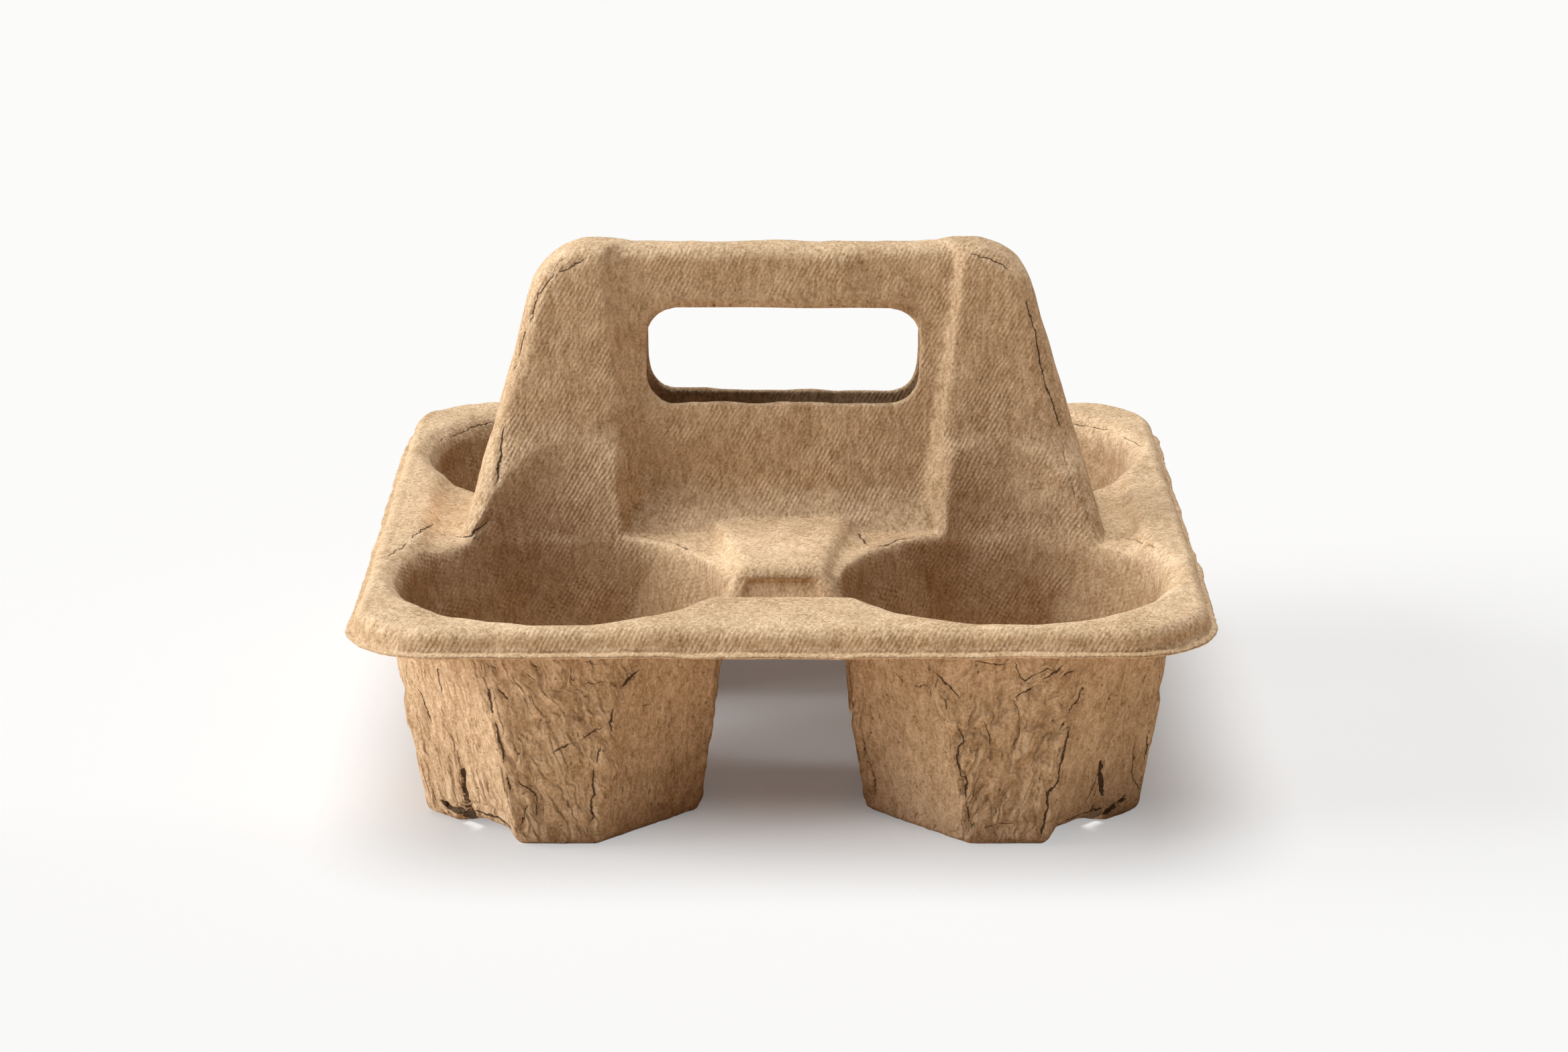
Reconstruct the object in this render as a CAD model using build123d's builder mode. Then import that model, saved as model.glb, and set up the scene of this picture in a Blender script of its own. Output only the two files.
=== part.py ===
"""Moulded paper-pulp carrier for four cups, with a hollow carry handle in the middle."""

import os
from math import atan, cos, degrees, radians, sin, tan

from build123d import *

# The sheet and its overall size. Millimetres, +Z up, front towards -Y, feet on Z = 0.
wall = 2.0
bevel_share = 0.58
crest_share = 0.19
tray_side = 215.0
carrier_height = 134.0
deck_height = 62.0

# Rim: a rounded square shoulder over a thin out-turned lip.
rim_drop = 7.0
rim_corner = 24.0
lip_width = 3.0
shoulder_radius = 5.0

# Wells: chamfered-square feet that turn round towards a flared mouth.
rim_margin = 10.3
web = 14.8
foot_inset = 6.7
foot_flat = 20.0
foot_edge = 4.0
facet_fade = 0.4
round_draft = 4.0
mouth_roll = 5.0
roll_turn = 80.0
cup_draft = 5.0
cup_gap = 0.3

# Ledge round the handle, a step below the deck, with sloped sides.
ledge_drop = 3.5
ledge_margin = 16.5
ledge_reach = 10.0
step_slope = 45.0
step_round = 3.5

# Blocks in front of and behind the handle, each with a shallow panel in its face.
block_root = 6.0
block_back = 35.6
block_front = 21.0
block_draft = 28.0
block_edge = 3.5
face_lip = 3.0
face_sink = 1.2
face_top = 17.0
face_spread = 20.0

# Notches between the blocks and the rim, where the sheet dips between two wells.
notch_drop = 10.0
notch_margin = 33.5
notch_length = 20.0
notch_tuck = 2.0
notch_reach = 23.0
notch_draft = 26.0
notch_round = 5.0
core_drop = 6.0

# Handle: a hollow wall with two thick posts and a thinner panel between them.
handle_valley = 6.9
handle_splay = 21.8
handle_corner = 17.0
handle_edge = 5.0
post_base = 13.5
post_top = 8.0
post_flare = 10.0
post_knee = 26.0
post_sweep = 12.0
post_width_base = 48.1
post_width_top = 16.3
panel_base = 9.5
panel_top = 5.5
panel_flare = 5.0
panel_knee = 9.0
panel_sweep = 15.0
panel_sink = 0.5
panel_edge = 4.5
flank_slope = 45.0

# Finger slot through both handle walls.
slot_margin = 26.6
slot_height = 25.0
slot_drop = 29.5
slot_corner = 8.0

# Tears in the outer corner of each front well: an upright slit over a ragged hole.
tear_along = 0.5
tear_height = 17.5
tear_gap = 1.2
tear_rise = 0.5
hole_length = 6.3
hole_height = 2.8
tear_depth = 6.0

# Heights, from the deck down.
flange_height = deck_height - rim_drop
ledge_height = deck_height - ledge_drop
ledge_rise = ledge_height - flange_height
notch_floor = deck_height - notch_drop
throat_height = deck_height - mouth_roll
core_floor = notch_floor - core_drop
hollow_floor = core_floor - wall
above = carrier_height + wall
level = 0.01

# Plan sizes, from the rim in.
rim_side = tray_side - 2 * lip_width
quarter = tray_side / 4
core_side = rim_side - 2 * shoulder_radius
throat_radius = quarter - (rim_margin + web) / 2
well_far = web + throat_radius
well_places = [(x, y) for x in (-well_far, well_far) for y in (-well_far, well_far)]
foot_half = throat_radius - foot_inset
corner_half = (foot_half + foot_flat / 2) / 2 ** 0.5
side_draft = degrees(atan((throat_radius + wall - facet_fade - foot_half) / throat_height))
corner_draft = degrees(atan((throat_radius + wall - facet_fade - corner_half) / throat_height))
ledge_length = tray_side - 2 * ledge_margin
ledge_depth = 2 * (well_far + ledge_reach)
notch_far = tray_side / 2 - notch_margin
block_reach = notch_far - notch_length
notch_near = block_reach - notch_tuck
handle_rise = carrier_height - ledge_height
handle_base = ledge_length - 2 * handle_valley
handle_top = handle_base - 2 * handle_splay
crease_base = handle_base / 2 - post_width_base
crease_top = handle_top / 2 - post_width_top
slot_length = handle_top - 2 * slot_margin
slot_centre = carrier_height - slot_drop


def set_back(skin, slope):
    """Sideways shift that, with a drop of skin, keeps a sloped wall skin thick."""
    return skin * tan(radians(slope / 2))


def ease(bends, radius, skin):
    """Round a bend of the upper face, or bevel the same bend of the hidden face under it."""
    if skin:
        chamfer(bends, (radius - skin) * bevel_share)
    else:
        fillet(bends, radius)


def upright_faces(form):
    """Side faces that still stand straight up."""
    return form.faces().filter_by(lambda face: abs(face.normal_at().Z) < level)


def pocket_form(skin):
    """Space over the ledge, with its sloped sides."""
    low = Plane.XY.offset(ledge_height - skin)
    grow = set_back(skin, step_slope)
    with BuildPart() as form:
        with BuildSketch(low):
            Rectangle(ledge_length + 2 * grow, ledge_depth + 2 * grow)
        extrude(amount=ledge_drop)
        draft(upright_faces(form), low, -step_slope)
    return form.part


def brink_edges(form, height):
    """Straight edges along the steps at the ends of the ledge, at one height."""
    runs = form.edges().filter_by(Axis.Y).filter_by_position(Axis.X, -core_side / 2, core_side / 2)
    return runs.filter_by_position(Axis.Z, height, height)


def rim_form(skin, floor):
    """Rounded square block of the deck and its shoulder, less the ledge pocket."""
    side = rim_side - 2 * skin
    with BuildPart() as form:
        with BuildSketch(Plane.XY.offset(floor)):
            RectangleRounded(side, side, rim_corner - lip_width - skin)
        extrude(amount=deck_height - skin - floor)
        chamfer(form.faces().sort_by(Axis.Z)[-1].edges(), (shoulder_radius - skin) * bevel_share)
        if not skin:
            chamfer(form.faces().sort_by(Axis.Z)[-1].edges(), shoulder_radius * crest_share)
        with BuildSketch(Plane.XY.offset(core_floor - skin)):
            RectangleRounded(core_side, core_side, rim_corner)
        extrude(amount=flange_height - core_floor + skin)
        add(pocket_form(skin), mode=Mode.SUBTRACT)
        fillet(brink_edges(form, ledge_height - skin), step_round + skin)
        fillet(brink_edges(form, deck_height - skin), step_round - skin)
    return form.part


def notch_form(skin):
    """Channel between the front block and the rim, as the space it takes out."""
    low = notch_floor - skin
    high = deck_height + wall
    spread = (high - low) * tan(radians(notch_draft))
    far = notch_far + set_back(skin, 90 - notch_draft)
    reach = notch_reach + skin
    with BuildPart() as form:
        with BuildSketch(Plane.YZ.offset(-reach)) as profile:
            with BuildLine():
                Polyline((-notch_near, low), (-far, low), (-far - spread, high),
                         (-notch_near, high), close=True)
            make_face()
            fillet(profile.vertices().group_by(Axis.Y)[0].sort_by(Axis.X)[0], notch_round + skin)
        extrude(amount=2 * reach)
    return form.part


def block_form(skin):
    """Truncated wedge from the handle to the front notch, with a panel sunk in its face."""
    shrink = set_back(skin, 90 - block_draft)
    back = block_back / 2 - shrink
    front = block_front / 2 - shrink
    reach = block_reach - shrink
    low = core_floor - skin
    drop = deck_height - skin - low
    lean = tan(radians(block_draft))
    top = Plane.XY.offset(deck_height - skin)
    with BuildPart() as form:
        with BuildSketch(top):
            with BuildLine():
                Polyline((-back, -block_root), (-front, -reach), (front, -reach),
                         (back, -block_root), close=True)
            make_face()
        extrude(amount=-drop)
        draft(upright_faces(form).sort_by(Axis.Y)[:-1], top, block_draft)
        brow = form.faces().sort_by(Axis.Z)[-1].edges()
        fillet(brow.sort_by(Axis.Y)[:-1], block_edge - skin)
        face_low = face_top + 2 * (drop - face_lip) * tan(radians(face_spread))
        for depth, width in ((face_lip, face_top), (drop, face_low)):
            with BuildSketch(Plane.XY.offset(deck_height - skin - depth)):
                with Locations((0, face_sink - reach - depth * lean)):
                    Rectangle(width + 2 * skin, quarter, align=(Align.CENTER, Align.MAX))
        loft(mode=Mode.SUBTRACT)
    return form.part


def well_form(grow, top):
    """Eight-sided foot that turns round upwards; grow thickens it from cavity to outside."""
    sunk = wall - grow
    half = foot_half - sunk * (1 - tan(radians(side_draft)))
    corner = corner_half - sunk * (1 - tan(radians(corner_draft)))
    flat = corner * 2 ** 0.5 - half
    low = throat_radius + grow - (throat_height - sunk) * tan(radians(round_draft))
    base = Plane.XY.offset(sunk)
    with BuildPart() as form:
        with BuildSketch(base):
            Rectangle(2 * half, 2 * half)
            chamfer(vertices(), half - flat)
        extrude(amount=top - sunk)
        sides = form.faces().filter_by(Axis.X) + form.faces().filter_by(Axis.Y)
        draft(sides, base, -side_draft)
        draft(upright_faces(form), base, -corner_draft)
        with BuildSketch(base):
            Circle(low)
        extrude(amount=top - sunk, taper=-round_draft, mode=Mode.INTERSECT)
        ease(form.faces().sort_by(Axis.Z)[0].edges(), foot_edge, sunk)
    return form.part


def mouth_form(grow, bevels):
    """Flared mouth of a well, rolled over in a few conical bevels."""
    throat = throat_radius + grow
    roll = mouth_roll - grow
    turns = [radians(180 - roll_turn * step / bevels) for step in range(bevels + 1)]
    bends = [(throat + roll + roll * cos(turn), throat_height + roll * sin(turn)) for turn in turns]
    (near, low), (far, high) = bends[-2:]
    edge = (2 * far - near, 2 * high - low)
    with BuildPart() as form:
        with BuildSketch(Plane.XZ):
            with BuildLine():
                Polyline((0, throat_height), *bends[:-1], edge, (0, edge[1]), close=True)
            make_face()
        revolve(axis=Axis.Z)
    return form.part


def cup_form(grow):
    """Cone of a cup standing in a well, which hollows the handle posts."""
    start = flange_height - wall
    lean = tan(radians(cup_draft))
    low = throat_radius + cup_gap + grow - lean * (throat_height - start)
    rise = above - start
    with BuildPart() as form:
        with Locations((0, 0, start)):
            Cone(low, low + lean * rise, rise, align=(Align.CENTER, Align.CENTER, Align.MIN))
    return form.part


def handle_section(skin, top, base, head, flare, knee, sweep):
    """End view of a drafted wall whose foot flares out below the knee."""
    lean = (base - head) / handle_rise
    bend = ledge_height + knee
    foot = base + lean * ledge_rise + flare * (knee + ledge_rise) / knee - skin
    waist = base - lean * knee - skin
    crown = base - lean * (top - ledge_height) - skin
    with BuildSketch(Plane.YZ) as section:
        with BuildLine():
            Polyline((-foot, flange_height), (foot, flange_height), (waist, bend), (crown, top),
                     (-crown, top), (-waist, bend), close=True)
        make_face()
        fillet(section.vertices().group_by(Axis.Y)[1], sweep + skin)
    return section.sketch


def post_form(skin):
    """Full wall of the handle, cut to its front outline, with eased outer edges."""
    top = carrier_height - skin
    splay = handle_splay / handle_rise
    low = handle_base / 2 + splay * ledge_rise - skin
    high = handle_top / 2 + splay * skin - skin
    with BuildPart() as form:
        section = handle_section(skin, top, post_base, post_top, post_flare, post_knee, post_sweep)
        extrude(section, handle_base, both=True)
        with BuildSketch(Plane.XZ) as view:
            with BuildLine():
                Polyline((-low, flange_height), (low, flange_height), (high, top), (-high, top), close=True)
            make_face()
            ease(view.vertices().group_by(Axis.Y)[-1], handle_corner, skin)
        extrude(amount=tray_side, both=True, mode=Mode.INTERSECT)
        ends = form.faces().filter_by(lambda face: abs(face.normal_at(face.center()).Y) < level)
        rims = ends.edges().filter_by(lambda edge: abs(edge.center().Y) > wall)
        outline = rims.filter_by(lambda edge: edge.center().Z > ledge_height)
        ease(outline, handle_edge, skin)
    return form.part


def recess_form(skin):
    """Space in front of the panel, between the sloped flanks of the posts."""
    slope = tan(radians(flank_slope))
    shift = skin / cos(radians(flank_slope))
    out = quarter
    base = crease_base + (out - panel_base) * slope + shift
    head = crease_top + (out - panel_top) * slope + shift
    lean = (head - base) / handle_rise
    low = flange_height - wall
    high = carrier_height + wall
    wide_low = base + lean * (low - ledge_height)
    wide_high = base + lean * (high - ledge_height)
    front = Plane.XZ.offset(out)
    with BuildPart() as form:
        with BuildSketch(front):
            with BuildLine():
                Polyline((-wide_low, low), (wide_low, low), (wide_high, high),
                         (-wide_high, high), close=True)
            make_face()
        extrude(amount=-out)
        flanks = form.faces().sort_by(Axis.X)
        draft([flanks[0], flanks[-1]], front, -flank_slope)
    return form.part


def panel_form(skin):
    """Thinner wall between the posts, rounded along its top."""
    top = carrier_height - panel_sink - skin
    with BuildPart() as form:
        section = handle_section(skin, top, panel_base, panel_top, panel_flare, panel_knee, panel_sweep)
        extrude(section, crease_top + wall, both=True)
        fillet(form.faces().sort_by(Axis.Z)[-1].edges().filter_by(Axis.X), panel_edge - skin)
    return form.part


def handle_form(skin):
    """Two thick posts with sloped flanks, and the thinner panel between them."""
    recess = recess_form(skin)
    with BuildPart() as form:
        add(post_form(skin))
        add(recess, mode=Mode.SUBTRACT)
        mirror(recess, about=Plane.XZ, mode=Mode.SUBTRACT)
        add(panel_form(skin))
        with Locations(*well_places):
            add(cup_form(skin), mode=Mode.SUBTRACT)
    return form.part


def top_form(skin, floor, bevels):
    """Everything below the upper face of the sheet, lowered and thinned by skin."""
    notch = notch_form(skin)
    block = block_form(skin)
    with BuildPart() as form:
        add(rim_form(skin, floor))
        with Locations(*well_places):
            add(mouth_form(skin, bevels), mode=Mode.SUBTRACT)
        add(notch, mode=Mode.SUBTRACT)
        mirror(notch, about=Plane.XZ, mode=Mode.SUBTRACT)
        add(block)
        mirror(block, about=Plane.XZ)
        add(handle_form(skin))
    return form.part


def tear_form():
    """Slit and hole through the outer front wall of the left front well."""
    flat = foot_flat / 2
    along = flat + (foot_half - flat) * tear_along
    across = foot_half - (foot_half - flat) * tear_along
    face = Plane(origin=(-well_far - along, -well_far - across, 0), x_dir=(1, -1, 0), z_dir=(-1, -1, 0))
    with BuildPart() as form:
        with BuildSketch(face):
            with BuildLine():
                Polyline((0, tear_height), (tear_gap, hole_height), (tear_gap / 2, tear_rise),
                         (-hole_length, tear_rise), (tear_gap - hole_length, hole_height),
                         (-tear_gap / 2, hole_height), close=True)
            make_face()
        extrude(amount=tear_depth, both=True)
    return form.part


# Hollow under the sheet, clear of the outsides of the wells.
with BuildPart() as hollow:
    add(top_form(wall, hollow_floor, 1))
    with Locations(*well_places):
        add(well_form(wall, throat_height), mode=Mode.SUBTRACT)

# One moulded sheet: rim, wells, blocks and handle, with the slot and the tears through it.
with BuildPart() as cup_carrier:
    add(top_form(0, flange_height, 2))
    with BuildSketch(Plane.XZ):
        with Locations((0, slot_centre)):
            RectangleRounded(slot_length, slot_height, slot_corner)
    extrude(amount=tray_side, both=True, mode=Mode.SUBTRACT)
    with Locations(*well_places):
        add(well_form(wall, core_floor + wall))
    add(hollow.part, mode=Mode.SUBTRACT)
    with Locations(*well_places):
        add(well_form(0, throat_height), mode=Mode.SUBTRACT)
    with BuildSketch(Plane.XY.offset(flange_height)):
        RectangleRounded(tray_side, tray_side, rim_corner)
        offset(amount=-lip_width - wall, mode=Mode.SUBTRACT)
    extrude(amount=wall)
    tear = tear_form()
    add(tear, mode=Mode.SUBTRACT)
    mirror(tear, about=Plane.YZ, mode=Mode.SUBTRACT)

os.makedirs("parts", exist_ok=True)
cup_carrier.part.label = "cup_carrier"
export_step(cup_carrier.part, "parts/cup_carrier.step")
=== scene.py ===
# %% [markdown]
# # A moulded-pulp cup carrier
# The carrier is one sheet of brown paper pulp, sucked onto a wire mould and dried.
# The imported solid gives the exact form: four cup wells, a deck and a hollow handle.
# This lesson turns that clean solid into real pulp: soft bends, a fibrous outside,
# wire marks on the upper face, small cracks, and a matt brown finish.

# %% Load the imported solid
import math

import bpy
import numpy as np
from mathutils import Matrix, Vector
from mathutils.bvhtree import BVHTree


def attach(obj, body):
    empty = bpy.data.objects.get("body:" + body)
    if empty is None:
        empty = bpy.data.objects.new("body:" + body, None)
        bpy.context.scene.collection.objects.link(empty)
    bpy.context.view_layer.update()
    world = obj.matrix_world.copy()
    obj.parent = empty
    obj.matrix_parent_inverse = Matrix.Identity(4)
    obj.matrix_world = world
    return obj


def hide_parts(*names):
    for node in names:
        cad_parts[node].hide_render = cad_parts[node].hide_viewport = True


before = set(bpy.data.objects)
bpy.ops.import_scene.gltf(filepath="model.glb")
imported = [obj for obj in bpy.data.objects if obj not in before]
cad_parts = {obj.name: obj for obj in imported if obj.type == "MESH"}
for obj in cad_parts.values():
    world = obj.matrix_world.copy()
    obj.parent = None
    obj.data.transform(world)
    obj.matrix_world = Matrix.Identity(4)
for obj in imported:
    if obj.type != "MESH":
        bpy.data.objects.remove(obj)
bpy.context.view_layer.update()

MM = 1000.0  # millimetres in a metre

# %% [markdown]
# ## The camera
# The camera stands straight in front of the carrier and looks 17 degrees down, with a long lens.
# Its place was worked out from the corners of the deck, the feet and the slot.
# It comes first, because the cracks are later placed by looking through it.

# %% Camera
PITCH = math.radians(17.0)
REACH = 1.086
AIM = Vector((0.0, 0.0, 0.0561))
PIXELS_ACROSS = 2337
PIXELS_DOWN = 1568
FOCAL_PIXELS = 6079.0
CENTRE_PIXEL = 1166.5
SENSOR = 36.0

bpy.ops.object.select_all(action="DESELECT")
bpy.ops.object.camera_add()
camera = bpy.context.active_object
camera.location = AIM + REACH * Vector((0.0, -math.cos(PITCH), math.sin(PITCH)))
camera.rotation_euler = (math.pi / 2 - PITCH, 0.0, 0.0)
camera.data.sensor_width = SENSOR
camera.data.lens = SENSOR * FOCAL_PIXELS / PIXELS_ACROSS
camera.data.shift_x = (PIXELS_ACROSS / 2 - CENTRE_PIXEL) / PIXELS_ACROSS
camera.data.clip_end = 50.0
bpy.context.scene.camera = camera
bpy.context.view_layer.update()
print("lens", round(camera.data.lens, 2), "mm, at", [round(v, 4) for v in camera.location])

# %% [markdown]
# ## The sheet, from the solid
# A copy of the solid's mesh is merged and rebuilt on an even grid of small cells.
# Even cells matter here, because every bend and fibre is moved point by point afterwards.
# A Smooth modifier then rounds the folds to the soft bends that wet pulp takes on a mould.

# %% Copy, merge and rebuild
GRID = 0.0007
SOFTEN_STEPS = 4
MERGE_WITHIN = 1e-5

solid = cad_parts["cup_carrier"]
bpy.ops.object.select_all(action="DESELECT")
solid.select_set(True)
bpy.context.view_layer.objects.active = solid
bpy.ops.object.duplicate()
sheet = bpy.context.active_object
sheet.name = "pulp_sheet"
sheet.data.name = "pulp_sheet"
sheet.parent = None
for key in list(sheet.keys()):
    del sheet[key]
sheet.data.materials.clear()
bpy.ops.object.mode_set(mode="EDIT")
bpy.ops.mesh.select_all(action="SELECT")
bpy.ops.mesh.remove_doubles(threshold=MERGE_WITHIN)
bpy.ops.object.mode_set(mode="OBJECT")


def apply_modifier(piece, kind, **settings):
    """Add one modifier to a piece and apply it."""
    modifier = piece.modifiers.new(kind.lower(), kind)
    for name, value in settings.items():
        setattr(modifier, name, value)
    bpy.ops.object.select_all(action="DESELECT")
    piece.select_set(True)
    bpy.context.view_layer.objects.active = piece
    bpy.ops.object.modifier_apply(modifier=modifier.name)


apply_modifier(sheet, "REMESH", mode="VOXEL", voxel_size=GRID, adaptivity=0.0)
apply_modifier(sheet, "SMOOTH", factor=0.5, iterations=SOFTEN_STEPS)
print("even grid:", len(sheet.data.vertices), "points")

# %% [markdown]
# ## Noise to shape the pulp with
# Pulp is uneven at every size, from slow warps of the whole sheet to single fibres.
# Blender's Displace modifier could do this with a texture, but each effect would need its own mask.
# A small seeded noise in numpy moves all points at once and gives the same result on each run.

# %% Seeded noise
LATTICE = 32
APART = 7.3


def noise(points, seed):
    """Smooth noise from -1 to 1 at each row of points, one bump per unit."""
    grid = np.random.default_rng(seed).uniform(-1, 1, (LATTICE, LATTICE, LATTICE))
    cell = np.floor(points).astype(int)
    part = points - cell
    part = part * part * (3 - 2 * part)
    near = cell % LATTICE
    far = (cell + 1) % LATTICE
    total = np.zeros(len(points))
    for corner in range(8):
        pick = [(corner >> axis) & 1 for axis in range(3)]
        index = [far[:, a] if pick[a] else near[:, a] for a in range(3)]
        share = np.prod([part[:, a] if pick[a] else 1 - part[:, a] for a in range(3)], axis=0)
        total += share * grid[index[0], index[1], index[2]]
    return total


def shift_field(points, seed):
    """Three noises side by side, as a direction and distance for each point."""
    return np.stack([noise(points + APART * k, seed + k) for k in range(3)], axis=1)


def fade(values, low, high):
    """Smooth step from 0 at low to 1 at high."""
    t = np.clip((values - low) / (high - low), 0, 1)
    return t * t * (3 - 2 * t)


def below(values, low, high):
    """Smooth step the other way: 1 at low, 0 at high."""
    return fade(-values, -high, -low)


print("noise sample", noise(np.array([[0.4, 0.2, 0.7]]), 1).round(3))

# %% [markdown]
# ## Cracks along the bends
# Where the wet sheet was bent most, fine dark cracks run along the handle's edges, round the mouths
# and down the folds of the front wells. The widest are the two tears at the outer front feet.
# Each has a strength and a few points seen through the camera, and rays carry these onto the sheet.

# %% Crack lines on the sheet
CRACKS = [
    # Handle, left edge and shoulder.
    (0.6, [(837, 405), (848, 402), (859, 391), (873, 387), (882, 380)]),
    (0.4, [(825, 404), (826, 396), (841, 386)]),
    (0.6, [(823, 411), (809, 429), (800, 446), (791, 475), (776, 511), (766, 545)]),
    (0.3, [(923, 377), (932, 373)]),
    (0.75, [(750, 640), (746, 664), (745, 689), (743, 707), (736, 729), (734, 750),
            (729, 775), (714, 789)]),
    (0.75, [(714, 789), (700, 800), (664, 798)]),
    # Handle, right edge and foot.
    (0.55, [(1452, 380), (1476, 386), (1500, 400), (1519, 424), (1530, 450)]),
    (0.6, [(1530, 450), (1536, 470), (1545, 500), (1550, 540), (1560, 580), (1572, 610),
           (1580, 640)]),
    (0.4, [(1583, 660), (1590, 700), (1602, 740)]),
    (0.6, [(964, 798), (993, 804), (1007, 807), (1025, 816), (1036, 812)]),
    (0.6, [(1281, 799), (1291, 811), (1301, 816), (1319, 814), (1339, 805), (1364, 802)]),
    # Mouths, deck and front block.
    (0.55, [(580, 827), (595, 818), (607, 807), (621, 795), (643, 784)]),
    (0.5, [(1660, 797), (1690, 804), (1720, 815)]),
    (0.5, [(648, 657), (664, 654), (689, 646), (700, 639), (729, 630)]),
    (0.45, [(1595, 632), (1650, 640), (1700, 664)]),
    (0.4, [(591, 691), (609, 686)]),
    (0.35, [(1163, 899), (1163, 914), (1163, 942), (1163, 970)]),
    (0.35, [(1125, 845), (1138, 837), (1148, 838)]),
    (0.35, [(1168, 836), (1182, 836)]),
    (0.4, [(1129, 923), (1140, 921)]),
    # Left front well, its two folds and short strokes.
    (0.85, [(714, 989), (728, 1021), (731, 1053), (742, 1096), (755, 1139), (755, 1160),
            (764, 1192)]),
    (0.85, [(946, 1006), (921, 1031), (912, 1056), (910, 1078), (914, 1092)]),
    (0.7, [(893, 1120), (883, 1160), (885, 1181), (881, 1206), (885, 1217), (876, 1230)]),
    (0.55, [(774, 1167), (799, 1185), (801, 1210)]),
    (0.55, [(785, 1203), (778, 1224)]),
    (0.6, [(874, 1097), (890, 1090)]),
    (0.6, [(831, 1117), (846, 1110)]),
    (0.5, [(963, 1053), (972, 1051)]),
    (0.6, [(651, 999), (655, 1028)]),
    (0.6, [(626, 1033), (640, 1071)]),
    (0.6, [(725, 989), (738, 998), (744, 1013), (762, 1019)]),
    (0.6, [(720, 1017), (733, 1021), (744, 1030), (753, 1039)]),
    (0.6, [(779, 982), (796, 993)]),
    (0.5, [(777, 998), (794, 1013), (818, 1018), (821, 1025)]),
    (0.5, [(842, 995), (853, 1008)]),
    (0.5, [(861, 985), (885, 987)]),
    (0.5, [(875, 1020), (894, 1017)]),
    (0.45, [(655, 998), (673, 1021)]),
    # Right front well.
    (0.6, [(1339, 1010), (1345, 1017)]),
    (0.6, [(1406, 1044), (1412, 1061)]),
    (0.85, [(1423, 1069), (1431, 1090), (1436, 1107), (1427, 1120), (1429, 1145), (1431, 1154)]),
    (0.85, [(1440, 1162), (1440, 1183), (1442, 1212), (1444, 1229)]),
    (0.6, [(1452, 1229), (1446, 1240)]),
    (0.5, [(1469, 1082), (1476, 1099), (1474, 1124), (1469, 1145)]),
    (0.5, [(1513, 1048), (1520, 1069), (1520, 1099), (1511, 1111)]),
    (0.75, [(1617, 1015), (1608, 1044), (1593, 1065), (1585, 1082)]),
    (0.85, [(1593, 1095), (1585, 1124), (1581, 1145), (1577, 1166), (1562, 1183),
            (1560, 1212), (1553, 1238)]),
    (0.65, [(1520, 1036), (1554, 1015), (1579, 996)]),
    (0.6, [(1650, 1053), (1657, 1038)]),
    (0.6, [(1669, 1061), (1673, 1046)]),
    (0.6, [(1286, 1107), (1288, 1120)]),
    (0.6, [(1301, 1154), (1303, 1166), (1299, 1187)]),
    (0.5, [(1366, 1023), (1381, 1023), (1385, 1034)]),
    (0.5, [(1474, 1234), (1503, 1229)]),
    (0.6, [(1400, 1009), (1411, 1020), (1425, 1036)]),
    (0.55, [(1513, 990), (1520, 1008), (1528, 1014), (1559, 998)]),
    (0.6, [(1588, 1008), (1604, 998)]),
    (0.5, [(1457, 988), (1499, 992)]),
    (0.5, [(1681, 995), (1684, 988)]),
    (0.55, [(1691, 1112), (1688, 1150), (1698, 1176)]),
    (0.6, [(1712, 1095), (1708, 1135), (1703, 1160)]),
    # Tears: slits over the holes, and the torn foot edges.
    (0.5, [(683, 1128), (690, 1146)]),
    (2.0, [(690, 1146), (690, 1174), (695, 1192)]),
    (2.4, [(666, 1200), (675, 1207), (691, 1212)]),
    (1.0, [(696, 1204), (714, 1212), (739, 1221), (755, 1231)]),
    (0.7, [(1648, 1118), (1644, 1132)]),
    (2.0, [(1643, 1137), (1642, 1160), (1644, 1180)]),
    (2.4, [(1650, 1212), (1660, 1204), (1671, 1196)]),
    (0.7, [(1638, 1158), (1631, 1179), (1621, 1196)]),
    (0.9, [(1640, 1206), (1600, 1222), (1582, 1232)]),
]
RAY_STEP = 6.0
SHORTEST_RUN = 0.01
LONGEST_RUN = 8.0

sight = BVHTree.FromObject(sheet, bpy.context.evaluated_depsgraph_get())


def look(pixel):
    """Where the camera's ray through a pixel meets the sheet, in millimetres, with the normal."""
    right = (pixel[0] - CENTRE_PIXEL) / FOCAL_PIXELS
    up = (PIXELS_DOWN / 2 - pixel[1]) / FOCAL_PIXELS
    ray = camera.matrix_world.to_3x3() @ Vector((right, up, -1.0)).normalized()
    place, normal = sight.ray_cast(camera.location, ray)[:2]
    return None if place is None else (np.array(place) * MM, np.array(normal))


def crack_runs():
    """Short straight runs on the sheet: start, end, sideways direction and strength."""
    found = []
    for strength, line in CRACKS:
        for start, end in zip(line, line[1:]):
            count = max(1, int(math.dist(start, end) / RAY_STEP))
            spots = [look([a + (b - a) * k / count for a, b in zip(start, end)])
                     for k in range(count + 1)]
            for first, last in zip(spots, spots[1:]):
                if first is None or last is None:
                    continue
                run = last[0] - first[0]
                sideways = np.cross(run, first[1] + last[1])
                width = np.linalg.norm(sideways)
                if SHORTEST_RUN < np.linalg.norm(run) < LONGEST_RUN and width > 0:
                    found.append((first[0], last[0], sideways / width, strength))
    return found


runs = crack_runs()
print(len(CRACKS), "cracks,", len(runs), "short runs on the sheet")

# %% [markdown]
# ## Two faces of one sheet
# Pulp has a smooth face that lay against the wire mould and a rough face that dried in the open.
# On this carrier the wire side is on top, so every drafted wall that looks up is wire side
# and every wall that looks down is rough side. The normals are averaged to find clean borders.

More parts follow.
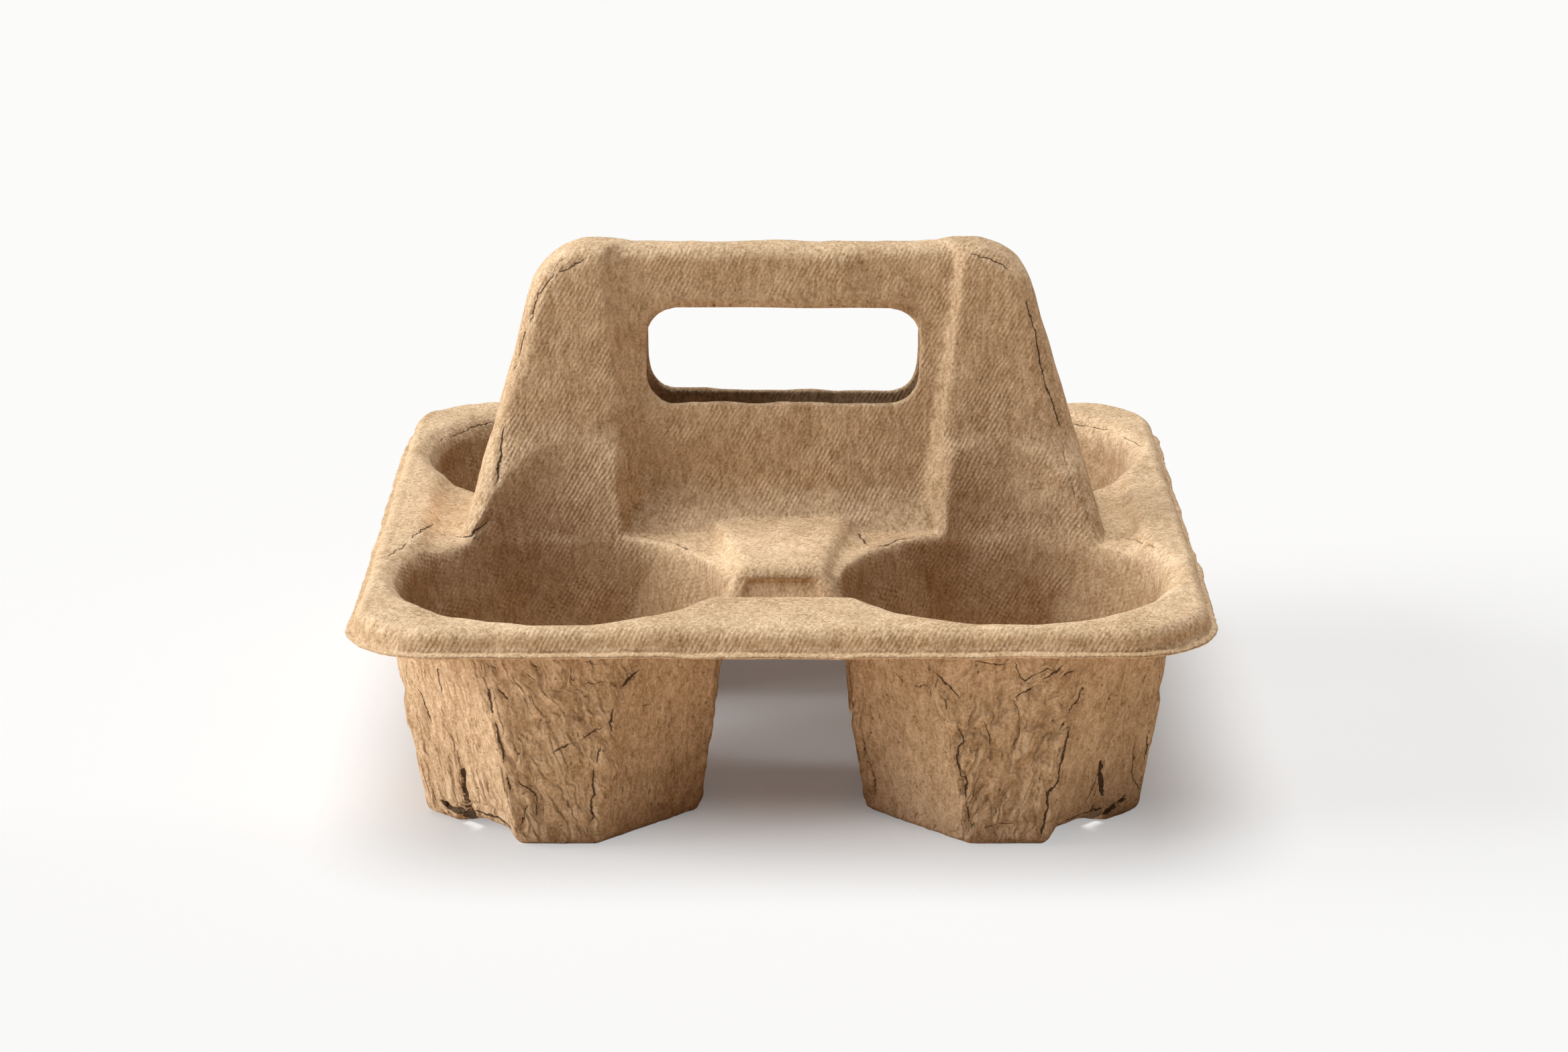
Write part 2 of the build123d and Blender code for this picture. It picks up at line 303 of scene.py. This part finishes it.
# %% Measure each point
WIRE_EDGE = 0.06
SPREAD_BEFORE = 6


def points_of(mesh):
    """Places of a mesh's points in millimetres, and their normals."""
    places = np.empty(len(mesh.vertices) * 3)
    normals = np.empty(len(mesh.vertices) * 3)
    mesh.vertices.foreach_get("co", places)
    mesh.vertex_normals.foreach_get("vector", normals)
    return places.reshape(-1, 3) * MM, normals.reshape(-1, 3)


def spread_over(mesh, values, rounds):
    """Average values with their neighbours along the mesh's edges."""
    edges = np.empty(len(mesh.edges) * 2, dtype=int)
    mesh.edges.foreach_get("vertices", edges)
    first, second = edges.reshape(-1, 2).T
    size = len(values)
    count = np.bincount(edges, minlength=size) + 1.0
    for _ in range(rounds):
        near = np.bincount(first, values[second], size)
        near = near + np.bincount(second, values[first], size)
        values = (values + near) / count
    return values


def wire_side(mesh, normals, rounds):
    """1 on the face that lay on the wire mould, 0 on the rough face."""
    return fade(spread_over(mesh, normals[:, 2], rounds), -WIRE_EDGE, WIRE_EDGE)


places, normals = points_of(sheet.data)
top_face = wire_side(sheet.data, normals, SPREAD_BEFORE)
print("wire side", round(float(top_face.mean()), 2), "of the points")

# %% [markdown]
# ## How near is the next crack
# Each point looks for the nearest run of a crack and keeps three numbers: the distance, the signed
# distance to its side, and the crack's strength. Noise breaks up the fine cracks; tears are whole.

# %% Nearest crack
CRACK_REACH = 5.0
NO_CRACK = 9.0
TEAR_POWER = 0.9
BREAK_SIZE = 4.5
BREAK_LEVELS = (-0.6, -0.2)


def nearest_crack(places):
    """Distance to the nearest drawn crack, signed distance to its side, and its strength there."""
    broken = fade(noise(places / BREAK_SIZE, seed=71), *BREAK_LEVELS)
    gap = np.full(len(places), NO_CRACK)
    side = np.full(len(places), NO_CRACK)
    strength = np.zeros(len(places))
    for a, b, sideways, power in runs:
        low = np.minimum(a, b) - CRACK_REACH
        high = np.maximum(a, b) + CRACK_REACH
        close = np.nonzero(np.all((places > low) & (places < high), axis=1))[0]
        off = places[close] - a
        along = np.clip(off @ (b - a) / ((b - a) @ (b - a)), 0, 1)
        away = np.linalg.norm(off - along[:, None] * (b - a), axis=1)
        nearer = away < gap[close]
        close = close[nearer]
        gap[close] = away[nearer]
        side[close] = off[nearer] @ sideways
        strength[close] = power * (1.0 if power > TEAR_POWER else broken[close])
    return gap, side, strength


gap, _, strength = nearest_crack(places)
print("points beside a crack:", int((gap < CRACK_REACH).sum()))

# %% [markdown]
# ## Wrinkles and tears
# The rough face dried into leaning wrinkles, strongest on the square faces of the wells.
# Two more measures find the torn foot edges and the floor behind their holes.

# %% Wrinkles and tears
LEAN = 0.3
BEND = 1.9
BEND_SIZE = 7.0
LUMP_SIZES = np.array([3.8, 3.8, 13.0])
LUMP_GAIN = 2.8
CREST_SIZES = np.array([5.0, 5.0, 16.0])
CREST_GAIN = 3.2
PATCH_SIZE = 16.0
PATCH_LEVELS = (-0.7, 0.5)
WELL_TOP = (52.0, 56.0)
SQUARE_FROM = (0.78, 0.95)


def wrinkles(places):
    """Bark-like relief of the rough face: lumps between narrow valleys that lean inwards."""
    wavy = places + BEND * shift_field(places / BEND_SIZE, seed=21)
    wavy[:, 0] -= LEAN * np.sign(places[:, 0]) * places[:, 2]
    lumps = np.minimum(1, np.abs(noise(wavy / LUMP_SIZES, seed=31)) * LUMP_GAIN)
    crests = 1 - np.minimum(1, np.abs(noise(wavy / CREST_SIZES, seed=33)) * CREST_GAIN)
    return 1.1 * lumps + 0.9 * crests - 1


def facet_strength(places, normals):
    """The faces square to the sides are wrinkled most; the slanted corner faces stay smoother."""
    level = np.maximum(1e-6, np.hypot(normals[:, 0], normals[:, 1]))
    square = np.maximum(np.abs(normals[:, 0]), np.abs(normals[:, 1])) / level
    patchy = fade(noise(places / PATCH_SIZE, seed=37), *PATCH_LEVELS)
    wells = below(places[:, 2], *WELL_TOP)
    return wells * (0.5 + 0.5 * fade(square, *SQUARE_FROM)) * (0.5 + 0.5 * patchy)


def corner_place(places):
    """How far each point lies out towards its front corner, and along the slanted foot edge."""
    across, back = np.abs(places[:, 0]), places[:, 1]
    return (across - back) / 2 ** 0.5, (across + back) / 2 ** 0.5


def torn_corner(places):
    """1 at the torn outer foot edge of each front well, fading upwards and along the edge."""
    out, along = corner_place(places)
    edge = fade(along, -17.0, -13.5) * below(along, -5.0, 8.0)
    return edge * below(places[:, 2], 1.0, 15.0) * fade(out, 98.0, 105.0)


def behind_hole(places):
    """1 on the well's floor just behind each torn hole, where painted shade keeps light from
    showing through it.
    """
    out, along = corner_place(places)
    low = below(places[:, 2], 7.0, 10.0)
    return fade(out, 93.0, 97.0) * below(np.abs(along), 6.0, 9.0) * low


torn = torn_corner(places)
print("points at the torn edges:", int((torn > 0.5).sum()))

# %% [markdown]
# ## Shape the rim
# The solid's rim has a straight bevel over a step and a lip. The pressed pulp is softer:
# the bevel rolls out to a round shoulder over a steep skirt, and the lip is pressed thinner.

# %% Rim
CORNER_CENTRE = 83.5
BEVEL_OUT = 103.05
BEVEL_UP = 60.55
ROLL, ROLL_HALF, ROLL_DEPTH = 0.8, 2.3, (-0.9, -0.4)
SKIRT_FROM = (103.0, 103.8)
PRESS, PRESS_FROM, PRESS_TO = 0.8, (55.2, 57.0), (57.0, 60.5)
WALL, WALL_FROM, WALL_TO, WALL_OUT = 0.7, (56.6, 57.4), (58.5, 61.0), (105.0, 106.0)


def rim_place(places):
    """How far out each point lies on the rounded square of the rim, and the way outwards there."""
    over = np.maximum(np.abs(places[:, :2]) - CORNER_CENTRE, 0)
    far = np.hypot(over[:, 0], over[:, 1])
    away = np.zeros_like(places)
    away[:, :2] = np.sign(places[:, :2]) * over / np.maximum(far, 1e-6)[:, None]
    return CORNER_CENTRE + far, away


def rim_moves(outside, height):
    """Moves outwards and upwards that round the shoulder, steepen the skirt and thin the lip."""
    along = (height - BEVEL_UP - outside + BEVEL_OUT) / 2 ** 0.5
    across = (height - BEVEL_UP + outside - BEVEL_OUT) / 2 ** 0.5
    roll = ROLL * np.maximum(0, 1 - (along / ROLL_HALF) ** 2) * fade(across, *ROLL_DEPTH)
    skirt = fade(outside, *SKIRT_FROM)
    press = PRESS * skirt * fade(height, *PRESS_FROM) * below(height, *PRESS_TO)
    wall = WALL * skirt * below(outside, *WALL_OUT)
    wall = wall * fade(height, *WALL_FROM) * below(height, *WALL_TO)
    return roll + wall, roll - press


outside, outward = rim_place(places)
rim_out, rim_up = rim_moves(outside, places[:, 2])
print("rim moved by up to", round(float(rim_out.max()), 2), "mm")

# %% [markdown]
# ## Shape the pulp
# Slow warps move both faces together, so the sheet keeps its thickness and only its edges go wavy.
# The rough face then gets its wrinkles, the wire face shallow lumps, and the lip a ragged edge.
# Cracks are pressed in, and the torn foot edges are bent up a little. All amounts are millimetres.

# %% Move the points
SLOW_WARP, SLOW_SIZE = 0.42, 42.0
QUICK_WARP, QUICK_SIZE = 0.2, 13.0
RAG, RAG_SIZE = 0.32, 6.0
SMALL_RAG, SMALL_RAG_SIZE = 0.16, 2.2
LIP_OUT, LIP_UP, LIP_HALF = (104.4, 106.2), 56.0, (1.6, 3.0)
WRINKLE = 0.68
LUMP, LUMP_SIZE = 0.36, 7.5
SMALL_LUMP, SMALL_LUMP_SIZE = 0.12, 3.4
GROOVE, GROOVE_WIDTH = 0.6, 0.6
TORN_LIFT = 3.3
STILL_BELOW = (0.1, 1.5)

rough_face = 1 - top_face
shift = SLOW_WARP * shift_field(places / SLOW_SIZE, seed=3)
shift = shift + QUICK_WARP * shift_field(places / QUICK_SIZE, seed=9)
lip = fade(outside, *LIP_OUT) * below(np.abs(places[:, 2] - LIP_UP), *LIP_HALF)
ragged = RAG * noise(places / RAG_SIZE, seed=51)
ragged = ragged + SMALL_RAG * noise(places / SMALL_RAG_SIZE, seed=53)
lumpy = LUMP * noise(places / LUMP_SIZE, seed=13)
lumpy = lumpy + SMALL_LUMP * noise(places / SMALL_LUMP_SIZE, seed=15)
along_normal = WRINKLE * rough_face * wrinkles(places) * facet_strength(places, normals)
along_normal += top_face * lumpy
along_normal -= GROOVE * strength * np.exp(-((gap / GROOVE_WIDTH) ** 2))
free = fade(places[:, 2], *STILL_BELOW)
moved = places + shift * free[:, None] + normals * (along_normal * free)[:, None]
moved += outward * (lip * ragged + rim_out)[:, None]
moved[:, 2] += rim_up + TORN_LIFT * torn
moved[:, 2] = np.maximum(moved[:, 2], 0.0)
sheet.data.vertices.foreach_set("co", (moved / MM).ravel())
sheet.data.update()
print("largest move", round(float(np.linalg.norm(moved - places, axis=1).max()), 2), "mm")

# %% [markdown]
# ## Thin out the mesh
# The even grid has far more points than the flat areas need.
# A Decimate modifier keeps them where the surface bends and drops them elsewhere.
# The marks for colour are measured again on the points that are left. A crack is kept as a signed
# distance, which stays true between two points, so that its line can be thinner than a triangle.
# The floor behind each torn hole gets the mark of a wide crack, painted shade that makes the hole
# look dark.

# %% Decimate and store the marks
TRIANGLES = 196000
SPREAD_AFTER = 3
SPREAD_FACING = 4
CRACK_HALO = 1.8
HOLE_SHADE = 2.4

apply_modifier(sheet, "DECIMATE", decimate_type="COLLAPSE",
               ratio=min(1.0, TRIANGLES / (2 * len(sheet.data.polygons))))
bpy.ops.object.shade_smooth()


def store(mesh, name, values):
    """Keep one number or one direction per point on the mesh, for the material to read."""
    flat = values.ndim == 1
    layer = mesh.attributes.new(name, "FLOAT" if flat else "FLOAT_VECTOR", "POINT")
    layer.data.foreach_set("value" if flat else "vector", values.astype(np.float32).ravel())


places, normals = points_of(sheet.data)
top_face = wire_side(sheet.data, normals, SPREAD_AFTER)
gap, side, strength = nearest_crack(places)
wrinkled = (1 - top_face) * facet_strength(places, normals)
facing = [spread_over(sheet.data, normals[:, axis], SPREAD_FACING) for axis in range(3)]
facing = np.stack(facing, axis=1) ** 4
hole_shade = behind_hole(places) * top_face
crack_and_hole_shade = np.maximum(strength * np.exp(-((gap / CRACK_HALO) ** 2)), HOLE_SHADE * hole_shade)
store(sheet.data, "wire_side", top_face)
store(sheet.data, "facing", facing / facing.sum(axis=1, keepdims=True))
store(sheet.data, "crack_side", side * (1 - hole_shade))
store(sheet.data, "crack", crack_and_hole_shade)
store(sheet.data, "wrinkled", wrinkled)
# The relief is kept for painted shade in the wrinkles' valleys and painted light on their crests.
store(sheet.data, "relief", wrinkled * wrinkles(places))
print(len(sheet.data.polygons), "triangles kept")

# %% [markdown]
# ## Sums of shader nodes
# The finish is a large sum of textures, and a sum reads better as a line of Python than as nodes.
# A small class wraps a shader socket, so that plus, minus and times add the nodes and link them.

# %% Shader sums
class Wire:
    """A shader socket that takes part in Python sums."""

    def __init__(self, tree, socket=None):
        self.tree = tree
        self.socket = socket

    def node(self, kind, sockets, out=0, **settings):
        """Add any node, set or link its inputs, and give back one output."""
        made = self.tree.nodes.new(kind)
        for name, value in settings.items():
            setattr(made, name, value)
        for name, value in sockets.items():
            if isinstance(value, Wire):
                self.tree.links.new(value.socket, made.inputs[name])
            else:
                made.inputs[name].default_value = value
        return None if out is None else Wire(self.tree, made.outputs[out])

    def maths(self, operation, first, second=0.0):
        """One Math node."""
        return self.node("ShaderNodeMath", {0: first, 1: second}, operation=operation)

    def __add__(self, other):
        return self.maths("ADD", self, other)

    def __radd__(self, other):
        return self.maths("ADD", other, self)

    def __sub__(self, other):
        return self.maths("SUBTRACT", self, other)

    def __rsub__(self, other):
        return self.maths("SUBTRACT", other, self)

    def __mul__(self, other):
        return self.maths("MULTIPLY", self, other)

    def step(self, low, high):
        """0 below low, 1 above high, smooth between."""
        return self.node("ShaderNodeMapRange", {"Value": self, "From Min": low, "From Max": high},
                         interpolation_type="SMOOTHSTEP")

    def mixed(self, first, second):
        """A colour between two colours, by this value."""
        return self.node("ShaderNodeMix", {"Factor": self, "A": first, "B": second}, out=2,
                         data_type="RGBA")

    def parts(self):
        """The X, Y and Z of a direction or place."""
        made = self.tree.nodes.new("ShaderNodeSeparateXYZ")
        self.tree.links.new(self.socket, made.inputs["Vector"])
        return [Wire(self.tree, socket) for socket in made.outputs]


def new_material(name):
    """An empty node material with its output, and a wire to start from."""
    material = bpy.data.materials.new(name)
    material.use_nodes = True
    material.node_tree.nodes.clear()
    return material, Wire(material.node_tree)


print("shader class ready")

# %% [markdown]
# ## The pulp finish
# Recycled pulp is matt, warm brown, and full of flecks: dark specks, pale fibres, cloudy patches.
# All of it comes from procedural textures on the object's own coordinates, in five sizes of grain.

# %% Marks and grain
pulp, wire = new_material("moulded_pulp")
spot = wire.node("ShaderNodeTexCoord", {}, out="Object")


def mark(name, out="Fac"):
    """One of the marks stored on the sheet."""
    return wire.node("ShaderNodeAttribute", {}, out=out, attribute_name=name)


def grain(size, detail=2.0, stretch=(1.0, 1.0, 1.0), turn=(0.0, 0.0, 0.0), at=spot):
    """Noise with lumps of the given size in metres, from 0 to 1."""
    turned = wire.node("ShaderNodeMapping", {"Vector": at, "Rotation": turn, "Scale": stretch})
    inputs = {"Vector": turned, "Scale": 1 / size, "Detail": detail, "Roughness": 0.6}
    return wire.node("ShaderNodeTexNoise", inputs, out="Fac")


wire_face = mark("wire_side")
crack = mark("crack")
relief = mark("relief")
wrinkled = mark("wrinkled")
cloud = grain(0.030, 3.0)
mottle = grain(0.0046, 4.0)
fibre = grain(0.0016, 3.0, (1.0, 1.0, 0.5))
streaks = grain(0.0012, 2.0, (1.0, 1.0, 0.3), (0.0, 0.52, 0.0))
dust = grain(0.0007, 2.0)
print("marks and grain:", len(pulp.node_tree.nodes), "nodes")

# %% [markdown]
# ## Marks of the mould's screen
# The mould is lined with woven wire, and its cloth prints a fine slanted grid on the upper face.
# Three flat grids are laid along the three axes and blended by the way each part faces,
# so that the lines stay even on walls and on the deck. They come and go in patches.

# %% Screen cloth
SCREEN_PITCH = 0.00105
CROSS_PITCH = 0.00115
DRIFT = 0.0016

facing = mark("facing", "Vector").parts()
drift = (grain(0.009) - 0.5) * DRIFT


def screen_lines(direction, pitch):
    """Even lines of the screen across a direction, a little bent, from -1 to 1."""
    across = wire.node("ShaderNodeVectorMath", {0: spot, 1: direction}, out="Value",
                       operation="DOT_PRODUCT")
    return wire.maths("SINE", (across + drift) * (2 * math.pi / pitch))


def screen_cloth(first, second):
    """Two crossing sets of screen lines, the first one stronger."""
    return screen_lines(first, SCREEN_PITCH) * 0.65 + screen_lines(second, CROSS_PITCH) * 0.35


weave = (screen_cloth((0.0, 0.866, -0.5), (0.0, 0.5, 0.866)) * facing[0]
         + screen_cloth((0.866, 0.0, -0.5), (0.5, 0.0, 0.866)) * facing[1]
         + screen_cloth((0.866, -0.5, 0.0), (0.5, 0.866, 0.0)) * facing[2] * 0.6)
weave = weave * (grain(0.010, 2.0).step(0.35, 0.7) * 0.8 + 0.2) * wire_face
print("screen cloth:", len(pulp.node_tree.nodes), "nodes")

# %% [markdown]
# ## Colour of the pulp
# Tones of four sizes, from cloudy patches to dust, are summed and turned into a brown between two.
# Low down on the wire side, inside the wells, the brown is made deeper as painted shade.

# %% Colour
MIDDLE = (0.3, 0.7)
PULP_DARK = (0.375, 0.216, 0.098, 1.0)
PULP_PALE = (0.895, 0.650, 0.420, 1.0)
PULP_WELL_SHADE = (0.30, 0.150, 0.055, 1.0)
WELL_SHADE_BELOW = (0.050, 0.0615)
WELL_SHADE_SHARE = 0.32

fine = wire_face * streaks.step(*MIDDLE) + (1 - wire_face) * fibre.step(*MIDDLE)
tone = (cloud.step(*MIDDLE) * 0.20 + mottle.step(*MIDDLE) * 0.22 + fine * 0.36
        + dust.step(*MIDDLE) * 0.42 + weave * 0.05 - 0.10)
colour = tone.mixed(PULP_DARK, PULP_PALE)
# Painted shade: the wire side low down, inside the wells, is darkened towards a deep brown.
well_shade = (1 - spot.parts()[2].step(*WELL_SHADE_BELOW)) * wire_face
colour = (well_shade * WELL_SHADE_SHARE).mixed(colour, PULP_WELL_SHADE)
print("colour:", len(pulp.node_tree.nodes), "nodes")

# %% [markdown]
# ## Furrows of the rough face
# The rough face has finer folds than the mesh can carry. They lean the same way as the wrinkles,
# bend a little, and carry painted shade that darkens the colour in them; the crests between them
# stay pale.

# %% Furrows
PULP_CREST_LIGHT = (0.90, 0.67, 0.44, 1.0)
PULP_VALLEY_SHADE = (0.24, 0.135, 0.060, 1.0)
PUSH = (0.0035, 0.0035, 0.0035)
PUSH_SIZE = 0.005

push = {"Vector": spot, "Scale": 1 / PUSH_SIZE, "Detail": 1.0}
bent = wire.node("ShaderNodeTexNoise", push, out="Color")
pushed = wire.node("ShaderNodeVectorMath", {0: bent, 1: PUSH, 2: spot}, operation="MULTIPLY_ADD")
x, y, z = pushed.parts()
side_sign = wire.maths("SIGN", x)
leaning = wire.node("ShaderNodeCombineXYZ", {"X": x - side_sign * z * LEAN, "Y": y, "Z": z})
folds = wire.maths("ABSOLUTE", grain(0.0036, 1.5, (1.0, 1.0, 0.26), at=leaning) - 0.5)
furrows = (1 - folds.step(0.0, 0.16)) * wrinkled
creases = (1 - folds.step(0.0, 0.06)) * wrinkled * grain(0.0055, 1.0).step(0.46, 0.6)
# Painted shade: the furrows and creases darken the colour where their shadow would fall.
colour = (furrows * 0.15 + creases * 0.28).mixed(colour, PULP_VALLEY_SHADE)
# Painted shade in the valleys of the sheet's wrinkles, and painted light on their crests.
colour = ((0 - relief).step(0.2, 0.9) * 0.2).mixed(colour, PULP_VALLEY_SHADE)
colour = (relief.step(0.25, 0.9) * 0.3).mixed(colour, PULP_CREST_LIGHT)
print("furrows:", len(pulp.node_tree.nodes), "nodes")

# %% [markdown]
# ## Flecks and crack lines
# Short strokes in two directions and round specks are the dark fibres of old paper.
# A crack line is drawn where the stored side distance is small, with a wiggle from a fine noise.

# %% Flecks and cracks
PULP_SPECK = (0.10, 0.055, 0.025, 1.0)
PULP_CRACK = (0.05, 0.026, 0.012, 1.0)
STROKE_SIZE = 0.0013
STROKE_FROM = (0.79, 0.84)
SPECK_FROM = (0.745, 0.79)

upright = grain(STROKE_SIZE, 0.0, (1.4, 1.4, 0.4), (0.0, 0.5, 0.0)).step(*STROKE_FROM)
lying = grain(STROKE_SIZE, 0.0, (1.4, 0.4, 1.4), (0.0, -0.4, 0.8)).step(*STROKE_FROM)
strokes = upright + lying
specks = grain(0.0021, 1.0).step(*SPECK_FROM)
flecks = (strokes * 0.6 + specks * 0.75) * (1 - wire_face * 0.55)
colour = wire.maths("MINIMUM", flecks, 0.8).mixed(colour, PULP_SPECK)

wiggle = (grain(0.0026, 3.0) - 0.5) * 2.2
beside = wire.maths("ABSOLUTE", mark("crack_side") + wiggle)
# Painted shade: on the well floor behind each torn hole this line paints a dark patch.
line = (crack * 1.25 - beside * 2.1 - 0.22).step(0.0, 0.4)
colour = (line * 0.88).mixed(colour, PULP_CRACK)
print("flecks and cracks:", len(pulp.node_tree.nodes), "nodes")

# %% [markdown]
# ## Grain that the light catches
# The same textures also make a height for one Bump node, a few tenths of a millimetre deep.
# The wire face carries the screen and fine streaks, and the rough face its furrows.

# %% Relief and the whole material
BUMP_DEPTH = 0.0005

smooth_side = weave * 0.16 + streaks * 0.5 + mottle * 0.5
rough_side = fibre * 0.9 + mottle * 1.0 - furrows * 1.4 - creases * 0.3
height = wire_face * smooth_side + (1 - wire_face) * rough_side + dust * 0.3 - line * 0.8
bump = wire.node("ShaderNodeBump", {"Height": height, "Strength": 1.0, "Distance": BUMP_DEPTH},
                 out="Normal")
shader = wire.node("ShaderNodeBsdfPrincipled",
                   {"Base Color": colour, "Roughness": 0.88 + mottle * 0.12, "Normal": bump,
                    "Specular IOR Level": 0.15})
wire.node("ShaderNodeOutputMaterial", {"Surface": shader}, out=None)
sheet.data.materials.append(pulp)
print("pulp:", len(pulp.node_tree.nodes), "nodes")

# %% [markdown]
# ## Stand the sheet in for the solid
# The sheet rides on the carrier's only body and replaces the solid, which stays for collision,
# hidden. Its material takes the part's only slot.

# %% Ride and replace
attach(sheet, "root")
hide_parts("cup_carrier")
print("sheet stands for cup_carrier")

# %% [markdown]
# ## The floor
# A wide pale floor fills the view and keeps the soft shadow. For the camera it also glows a little,
# as painted light that lifts the shadow: most in front, less outside the feet, least between them.
# For the light it sends back onto the carrier it is warm paper, which gives the shaded sides their
# richer brown.

# %% Floor
FLOOR_SEEN = (0.845, 0.806, 0.774, 1.0)
FLOOR_LIFT_LIGHT = (0.91, 0.91, 0.905, 1.0)
FLOOR_BOUNCE = (0.88, 0.71, 0.57, 1.0)
GLOW_UNDER = 0.10
GLOW_OUTSIDE = 0.20
GLOW_FRONT = 0.30
OUTSIDE_FROM = (0.05, 0.11)
FRONT_FROM = (0.05, 0.10)
FLOOR_SIZE = 30.0
FLOOR_MIDDLE = (0.0, 8.0, 0.0)

bpy.ops.object.select_all(action="DESELECT")
bpy.ops.mesh.primitive_plane_add(size=FLOOR_SIZE, location=FLOOR_MIDDLE)
floor = bpy.context.active_object
floor.name = "floor"
paper, base = new_material("floor_paper")
seen = base.node("ShaderNodeLightPath", {}, out="Is Camera Ray")
mirrored = base.node("ShaderNodeLightPath", {}, out="Is Glossy Ray")
through = base.node("ShaderNodeLightPath", {}, out="Is Transmission Ray")
shown = base.maths("MAXIMUM", base.maths("MAXIMUM", seen, mirrored), through)
matt = base.node("ShaderNodeBsdfPrincipled",
                 {"Base Color": shown.mixed(FLOOR_BOUNCE, FLOOR_SEEN), "Roughness": 0.9,
                  "Specular IOR Level": 0.1})
shadow_lift = base.node("ShaderNodeEmission", {"Color": FLOOR_LIFT_LIGHT, "Strength": 1.0})
place = base.node("ShaderNodeNewGeometry", {}, out="Position")
from_middle = base.node("ShaderNodeVectorMath", {0: place}, out="Value", operation="LENGTH")
to_front = 0 - place.parts()[1]
# Painted light: the glow lifts the floor's shadow, weakest under the carrier and strongest in
# front.
glowing = (from_middle.step(*OUTSIDE_FROM) * GLOW_OUTSIDE + to_front.step(*FRONT_FROM) * GLOW_FRONT
           + GLOW_UNDER)
both = base.node("ShaderNodeMixShader", {0: shown * glowing, 1: matt, 2: shadow_lift})
base.node("ShaderNodeOutputMaterial", {"Surface": both}, out=None)
floor.data.materials.append(paper)
print("floor:", len(paper.node_tree.nodes), "nodes")

# %% [markdown]
# ## Light
# One very soft sun overhead and one low on the left act as wide studio lights.
# Both are a little cool, and the world adds a faint, warm and even glow.

# %% Lamps and world
SUN_COLOUR = (0.91, 0.96, 1.0)
SUN_WIDTH = 40.0
LAMP_PLACE = (-1.0, 0.0, 1.0)
WORLD_COLOUR = (1.0, 0.90, 0.80, 1.0)
WORLD_STRENGTH = 0.08


def soft_sun(name, side, height, power):
    """A wide sun: side is its angle from the front to the left, height its angle over the floor."""
    bpy.ops.object.light_add(type="SUN", location=LAMP_PLACE)
    made = bpy.context.active_object
    made.name = name
    made.data.energy = power
    made.data.color = SUN_COLOUR
    made.data.angle = math.radians(SUN_WIDTH)
    made.rotation_euler = (math.radians(90.0 - height), 0.0, -math.radians(side))


soft_sun("overhead", side=120.0, height=84.0, power=2.95)
soft_sun("left", side=86.0, height=17.0, power=3.0)

world = bpy.data.worlds.new("studio")
world.use_nodes = True
glow = world.node_tree.nodes["Background"]
glow.inputs["Color"].default_value = WORLD_COLOUR
glow.inputs["Strength"].default_value = WORLD_STRENGTH
bpy.context.scene.world = world
bpy.context.scene.view_settings.view_transform = "Standard"
print("two suns and the world ready")
